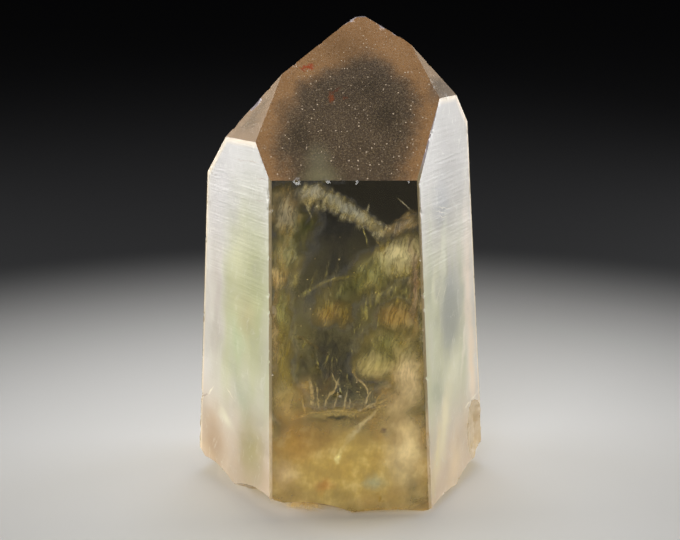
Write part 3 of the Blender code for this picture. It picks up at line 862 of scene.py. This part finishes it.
def painted_shade_sheets():
    """Near-black sheets in the middle, behind the feather's fingers and the rusty patches: painted
    shade that stands for the dark seen through the clear stone.
    """
    shape = new_matter()
    add_swarm(shape, (-1.0, 17.6, 3.6), (11.0, 9.0, 1.6), (3.2, 4.4), 30, 0, 4, seed=30)
    add_swarm(shape, (-1.4, 28.0, 4.4), (8.0, 14.0, 1.8), (3.0, 4.4), 24, 0, -8, seed=31)
    finish = matter(
        "painted shade sheet", ((0.004, 0.005, 0.002), (0.016, 0.018, 0.005)), 0.45,
        (0.8, 0.8, 2.4), 8, (0.20, 0.50), 0.5,
    )
    finished_matter("painted_shade_sheets", shape, finish)


def rusty_patches():
    """Two rusty patches half way up, and stains near the foot."""
    shape = new_matter()
    add_swarm(shape, (-2.0, 24.3, 1.6), (3.6, 2.3, 1.6), (1.7, 1.5), 12, seed=60)
    add_swarm(shape, (5.2, 23.5, 1.6), (3.2, 2.3, 1.6), (1.7, 1.5), 12, seed=61)
    add_swarm(shape, (-6.6, 8.6, 1.4), (4.6, 4.4, 1.8), (2.2, 2.0), 14, seed=62)
    add_swarm(shape, (-2.9, 4.2, 1.4), (2.4, 1.4, 1.2), (1.6, 1.2), 8, seed=63)
    finish = matter(
        "rusty patch", ((0.52, 0.28, 0.06), (0.66, 0.42, 0.13)), 0.32,
        (1.6, 1.6, 2.0), 0, (0.16, 0.46), 0.35,
    )
    finished_matter("rusty_patches", shape, finish)


def amber_clouds():
    """The dense golden cloud that fills the foot."""
    shape = new_matter()
    add_swarm(shape, (-0.2, 5.2, 0.8), (19.0, 10.5, 3.0), (3.4, 3.2), 70, seed=80)
    add_swarm(shape, (-0.2, 9.6, 1.4), (18.0, 4.2, 3.0), (2.6, 2.0), 20, 0, 0, seed=81)
    add_swarm(shape, (0.0, 5.6, 5.0), (19.0, 11.0, 16.0), (4.0, 3.8), 44, seed=82)
    add_swarm(shape, (-6.6, 13.8, 1.2), (4.4, 5.8, 2.2), (1.8, 2.0), 18, seed=83)
    for index, face in enumerate(("left", "right", "back left", "back right", "back")):
        add_swarm(
            shape, (0.0, 6.4, 0.8), (16.0, 12.0, 3.0), (3.2, 3.0), 20, 0, 0, face, 84 + index
        )
    finish = matter(
        "amber cloud", ((0.78, 0.50, 0.14), (0.94, 0.72, 0.32)), 0.46,
        (1.0, 1.0, 1.5), 20, (0.18, 0.52), 0.45,
    )
    finished_matter("amber_clouds", shape, finish)


def side_mists():
    """Thin pale mist under the satin sides."""
    shape = new_matter()
    scatter = random.Random(7)
    for face in ("left", "right", "back left", "back right"):
        for index in range(3):
            middle = (scatter.uniform(-4, 4), scatter.uniform(14, 36), 0.9)
            size = (scatter.uniform(1.5, 3.5), scatter.uniform(6.0, 12.0), 2.0)
            slant = scatter.uniform(-24, -4)
            add_swarm(shape, middle, size, (1.0, 2.8), 12, slant, slant, face, 100 + 7 * index)
    finish = matter(
        "side mist", ((0.76, 0.76, 0.60), (0.90, 0.90, 0.80)), 0.5,
        (0.5, 0.8, 2.4), 14, (0.30, 0.60), 0.6,
    )
    finished_matter("side_mists", shape, finish)


# The risen fingers of the feathery fracture: foot, tip, bend and width
FINGERS = (
    ((-5.2, 12.6), (-5.5, 14.5), 0.10, 0.34),
    ((-4.4, 13.4), (-4.6, 16.6), 0.00, 0.60),
    ((-3.7, 13.2), (-3.9, 15.4), 0.05, 0.36),
    ((-2.9, 13.4), (-2.2, 15.0), 0.05, 0.34),
    ((-2.3, 14.6), (-1.4, 16.2), -0.10, 0.32),
    ((-1.5, 15.8), (-2.1, 17.0), 0.05, 0.28),
    ((-1.9, 13.0), (-1.4, 14.8), 0.00, 0.26),
    ((-0.8, 12.8), (-0.4, 14.8), 0.05, 0.28),
    ((-0.2, 13.0), (0.0, 14.0), 0.00, 0.24),
    ((0.3, 17.4), (0.8, 16.0), 0.05, 0.30),
    ((0.9, 16.4), (2.2, 14.4), 0.15, 0.34),
    ((1.7, 13.4), (2.3, 14.9), 0.05, 0.28),
    ((2.8, 13.4), (3.6, 14.6), 0.05, 0.26),
    ((3.2, 14.0), (4.4, 15.4), 0.10, 0.26),
)
# Bright lines in the front: start, end, bend, width and depth
STREAKS = (
    ((-6.6, 11.8), (-4.4, 12.5), 0.0, 0.34, 1.1),
    ((-4.6, 12.4), (-1.6, 12.7), 0.0, 0.26, 1.1),
    ((-1.8, 12.7), (1.0, 12.6), -0.1, 0.28, 1.1),
    ((0.9, 12.5), (2.2, 13.2), -0.05, 0.32, 1.2),
    ((2.0, 13.0), (4.4, 14.0), -0.05, 0.38, 1.2),
    ((2.9, 12.9), (4.9, 13.2), 0.1, 0.30, 1.1),
    ((-1.0, 9.2), (0.6, 10.7), 0.05, 0.36, 1.0),
    ((0.4, 10.4), (3.6, 13.0), 0.05, 0.30, 1.0),
    ((-0.6, 8.8), (1.8, 11.2), 0.05, 0.24, 1.1),
    ((1.6, 11.1), (3.9, 12.9), 0.05, 0.22, 1.1),
    ((-2.6, 5.6), (-1.4, 7.2), 0.0, 0.50, 1.0),
    ((2.9, 4.6), (3.5, 6.4), 0.0, 0.24, 1.0),
    ((3.9, 6.0), (4.2, 7.4), 0.0, 0.22, 1.0),
    ((5.4, 18.8), (6.7, 21.0), 0.1, 0.28, 1.0),
    ((6.2, 16.4), (6.3, 19.0), 0.0, 0.26, 1.0),
    ((6.9, 15.4), (7.0, 17.4), 0.0, 0.22, 1.0),
)
# A sheet has to be this much wider than the line that shows, because it fades out
HALO = 1.25


def feather():
    """The feathery fracture near the foot: a bright edge, risen fingers and its own plane."""
    shape = new_matter()
    for index, (foot, tip, bend, width) in enumerate(FINGERS):
        add_strand(shape, foot, tip, bend, width * HALO, 1.1, 200 + index)
    for index, (start, end, bend, width, depth) in enumerate(STREAKS):
        add_strand(shape, start, end, bend, width * HALO, depth, 230 + index)
    add_sheet(shape, spot_under("front", -0.8, 12.7, 5.4), (13.5, 8.5), 6, (0, 84), 0.6, 260)
    add_sheet(shape, spot_under("front", 3.2, 11.8, 4.0), (7.0, 3.4), 24, (30, 66), 0.4, 261)
    add_strand(shape, (-6.0, 24.0), (-4.2, 28.6), 0.4, 0.7, 1.4, 262, "back")
    add_strand(shape, (2.0, 14.0), (5.8, 16.4), 0.3, 0.8, 1.4, 263, "back")
    finish = matter(
        "feather", ((0.82, 0.68, 0.40), (0.95, 0.84, 0.60)), 0.74,
        (0.3, 0.6, 0.8), 4, (0.14, 0.42), 0.45,
    )
    finished_matter("feather", shape, finish)


def brown_spot():
    """A speck of something dark close under the front face."""
    shape = new_matter()
    add_swarm(shape, (4.2, 9.9, 0.5), (0.45, 0.25, 0.3), (0.8, 0.55), 5, 15, 15, seed=270)
    finish = matter(
        "brown speck", ((0.06, 0.035, 0.02), (0.09, 0.05, 0.03)), 1.0, (1, 1, 1), 0,
        (0.0, 0.2), 0.1,
    )
    finished_matter("brown_spot", shape, finish)


# Where tiny cracks catch the light: face, spot, spread and how many
GLINTS = (
    ("front", (-1.6, 6.6, 0.9), 0.40, 22),
    ("front", (-2.6, 5.6, 0.9), 0.30, 7),
    ("front", (-0.9, 8.6, 0.9), 0.25, 7),
    ("front", (2.3, 8.9, 0.9), 0.14, 4),
    ("front", (-6.4, 6.4, 0.9), 0.25, 4),
    ("front", (2.9, 4.8, 0.9), 0.5, 5),
    ("front", (5.2, 28.2, 0.9), 0.10, 4),
    ("front", (-5.8, 26.1, 0.8), 0.06, 2),
    ("front", (-5.6, 22.7, 0.8), 0.06, 2),
    ("front", (-1.2, 30.3, 0.9), 0.05, 2),
    ("front", (1.7, 24.1, 0.8), 0.05, 2),
    ("front", (-4.0, 37.6, 0.9), 0.4, 6),
    ("front", (0.0, 27.0, 2.0), 5.0, 26),
    ("front", (0.0, 14.5, 1.6), 3.0, 26),
    ("front", (0.5, 6.0, 2.5), 5.0, 30),
    ("right", (-3.7, 33.8, 0.4), 0.25, 9),
    ("right", (-3.2, 6.4, 0.4), 0.35, 12),
    ("right", (-0.8, 6.2, 0.4), 0.3, 9),
    ("right", (-1.7, 8.6, 0.4), 0.4, 8),
    ("left", (2.9, 11.6, 0.4), 0.3, 5),
    ("left", (2.2, 41.0, 0.4), 0.3, 5),
)


def glints():
    """Tiny flakes that catch the light."""
    shape = bmesh.new()
    scatter = random.Random(19)
    for face, spot, spread, count in GLINTS:
        centre = spot_under(face, *spot)
        for _ in range(count):
            aside = Vector([scatter.gauss(0, 0.6) * spread for _ in range(3)])
            size = 0.022 + 0.045 * scatter.random() ** 2
            made = bmesh.ops.create_icosphere(shape, subdivisions=1, radius=size)
            turn = Matrix.Rotation(scatter.uniform(0, 6.3), 4, scatter.choice(("X", "Y", "Z")))
            thin = Matrix.Diagonal((1.0, 0.25, 1.5, 1.0))
            place = Matrix.Translation(centre + aside) @ turn @ thin
            bmesh.ops.transform(shape, verts=made["verts"], matrix=place)
    material = bpy.data.materials.new("glint")
    material.use_nodes = True
    surface = material.node_tree.nodes["Principled BSDF"]
    surface.inputs["Base Color"].default_value = (1.0, 0.86, 0.55, 1.0)
    surface.inputs["Metallic"].default_value = 0.5
    surface.inputs["Roughness"].default_value = 0.35
    finished_matter("glints", shape, material)


# The studio

FLOOR_RADIUS = 3000.0
# The floor's painted falloff of light darkens it between these distances from the crystal
PALE_REACH, DARK_FROM = 15.0, 130.0
FLOOR_PALE, FLOOR_FALLOFF_SHADE = (0.66, 0.65, 0.63), (0.010, 0.010, 0.011)
DIM_ROOM = (0.008, 0.008, 0.009, 1)
# The camera's place from the crystal's foot, how far it looks down and round, and its lens
CAMERA_PLACE = Vector((-9.77, -155.05, 65.25))
CAMERA_DOWN, CAMERA_ROUND = 14.156, -3.441
CAMERA_SENSOR, CAMERA_LENS = 36.0, 69.85
NEAR_CLIP, FAR_CLIP = 5.0, 20000.0


def floor_finish():
    """Pale round the crystal and falling off to dark far away: a painted pool of light."""
    material = bpy.data.materials.new("pale floor")
    material.use_nodes = True
    tree = material.node_tree
    surface = tree.nodes["Principled BSDF"]
    place = made_node(tree, "ShaderNodeTexCoord").outputs["Object"]
    far = made_node(tree, "ShaderNodeVectorMath", {0: place}, operation="LENGTH")
    # Painted falloff of light: darker with distance from the crystal.
    painted_falloff = smooth(tree, far.outputs["Value"], PALE_REACH * MM, DARK_FROM * MM)
    colour = blend(tree, painted_falloff, FLOOR_PALE, FLOOR_FALLOFF_SHADE)
    feed(tree, surface.inputs["Base Color"], colour)
    surface.inputs["Roughness"].default_value = 0.6
    return material


def studio_floor():
    shape = bmesh.new()
    bmesh.ops.create_circle(shape, cap_ends=True, segments=96, radius=FLOOR_RADIUS * MM)
    mesh = bpy.data.meshes.new("floor")
    shape.to_mesh(mesh)
    shape.free()
    floor = bpy.data.objects.new("floor", mesh)
    bpy.context.scene.collection.objects.link(floor)
    mesh.materials.append(floor_finish())


def softbox(name, bearing, rise, distance, size, power, aim_up=22):
    """An area light that looks at the crystal and that the camera doesn't see."""
    lamp = bpy.data.lights.new(name, "AREA")
    lamp.shape = "RECTANGLE"
    lamp.size, lamp.size_y = size[0] * MM, size[1] * MM
    lamp.energy = power
    box = bpy.data.objects.new(name, lamp)
    bpy.context.scene.collection.objects.link(box)
    out = facing(bearing, rise)
    box.location = (Vector((0, 0, aim_up)) + out * distance) * MM
    box.rotation_euler = out.to_track_quat("Z", "Y").to_euler()
    box.visible_camera = False


def studio():
    studio_floor()
    softbox("left softbox", -106, 8, 260, (150, 160), 0.62, aim_up=36)
    softbox("right softbox", 108, 8, 260, (150, 160), 0.68, aim_up=36)
    softbox("upper softbox", 180, 70, 300, (160, 160), 0.40)
    softbox("front fill", -15, 22, 500, (300, 300), 1.7)
    world = bpy.data.worlds.new("dim studio")
    world.use_nodes = True
    world.node_tree.nodes["Background"].inputs["Color"].default_value = DIM_ROOM
    bpy.context.scene.world = world


def camera():
    """Looks at the crystal from the photograph's place."""
    data = bpy.data.cameras.new("camera")
    data.sensor_width = CAMERA_SENSOR
    data.lens = CAMERA_LENS
    data.clip_start, data.clip_end = NEAR_CLIP * MM, FAR_CLIP * MM
    eye = bpy.data.objects.new("camera", data)
    bpy.context.scene.collection.objects.link(eye)
    eye.location = (CAMERA_PLACE + AXIS_PLACE) * MM
    eye.rotation_euler = (math.radians(90 - CAMERA_DOWN), 0.0, math.radians(CAMERA_ROUND))
    bpy.context.scene.camera = eye


def render_look():
    scene = bpy.context.scene
    scene.view_settings.view_transform = "Standard"
    scene.cycles.use_denoising = True
    scene.cycles.max_bounces = 16
    scene.cycles.transmission_bounces = 16
    scene.cycles.transparent_max_bounces = 96


crystal_body(citrine())
INCLUSIONS = (
    milky_veils, tan_hazes, green_clouds, painted_shade_sheets, rusty_patches, amber_clouds, side_mists,
    feather, brown_spot, glints,
)
for inclusion in INCLUSIONS:
    inclusion()
studio()
camera()
render_look()
